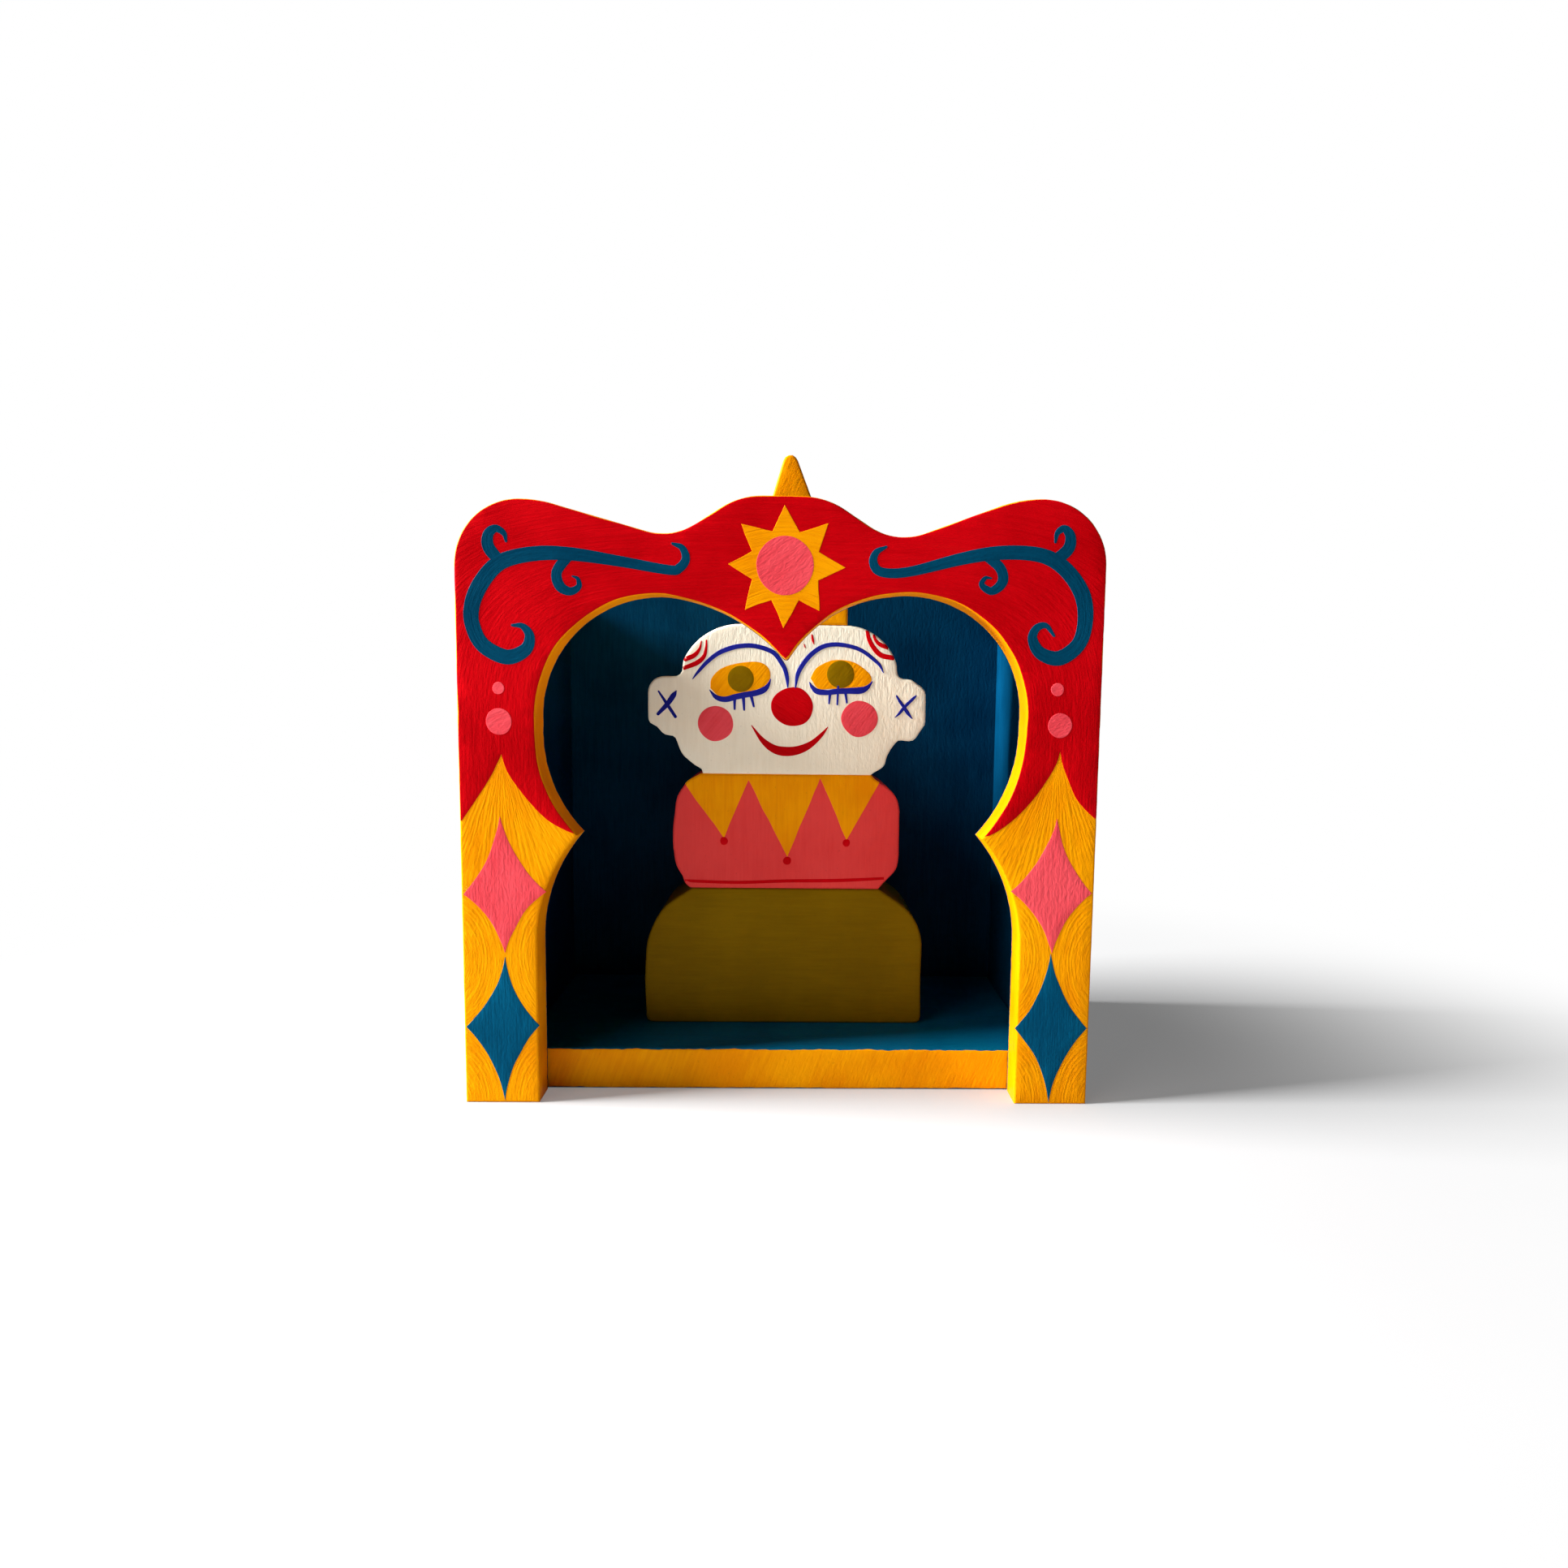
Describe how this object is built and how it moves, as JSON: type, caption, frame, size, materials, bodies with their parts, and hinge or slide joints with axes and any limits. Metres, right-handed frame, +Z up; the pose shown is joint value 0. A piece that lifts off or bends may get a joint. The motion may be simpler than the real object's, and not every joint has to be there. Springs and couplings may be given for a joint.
{
  "type": "jack in the box",
  "caption": "Painted wooden stage box with a scalloped, arched front and an open top, holding a clown of stacked blocks that lift out one by one.",
  "frame": {"origin": "on the table, under the middle of the box", "axes": "+Z up; -Y is the painted front; +X to the viewer's right when facing the front"},
  "size_m": [0.18, 0.114, 0.1912],
  "materials": {
    "red_paint": "hand-brushed red paint",
    "blue_paint": "hand-brushed blue paint",
    "olive_paint": "hand-brushed olive paint",
    "pink_paint": "hand-brushed pink paint",
    "white_paint": "hand-brushed white paint",
    "yellow_paint": "hand-brushed yellow paint",
    "teal_paint": "hand-brushed teal paint",
    "navy_paint": "fine navy brush lines",
    "beech": "bare beech dowel",
    "steel": "drawn steel pin"
  },
  "bodies": {
    "box": {"front_panel": "red_paint", "back_panel": "blue_paint", "left_wall": "blue_paint", "right_wall": "blue_paint", "floor_board": "blue_paint", "front_panel_pins": "steel", "back_panel_pins": "steel", "floor_pins": "steel"},
    "base": {"base_block": "olive_paint", "base_pegs": "beech"},
    "torso": {"torso_block": "pink_paint", "torso_pegs": "beech"},
    "head": {"head_block": "white_paint", "head_pegs": "beech"},
    "hat": {"hat_block": "yellow_paint"}
  },
  "joints": [
    {"name": "base_lift", "type": "slide", "parent": "box", "child": "base", "axis": [0, 0, 1], "range_m": [0, 0.165]},
    {"name": "torso_lift", "type": "slide", "parent": "base", "child": "torso", "axis": [0, 0, 1], "range_m": [0, 0.12]},
    {"name": "head_lift", "type": "slide", "parent": "torso", "child": "head", "axis": [0, 0, 1], "range_m": [0, 0.085]},
    {"name": "hat_lift", "type": "slide", "parent": "head", "child": "hat", "axis": [0, 0, 1], "range_m": [0, 0.04]}
  ]
}
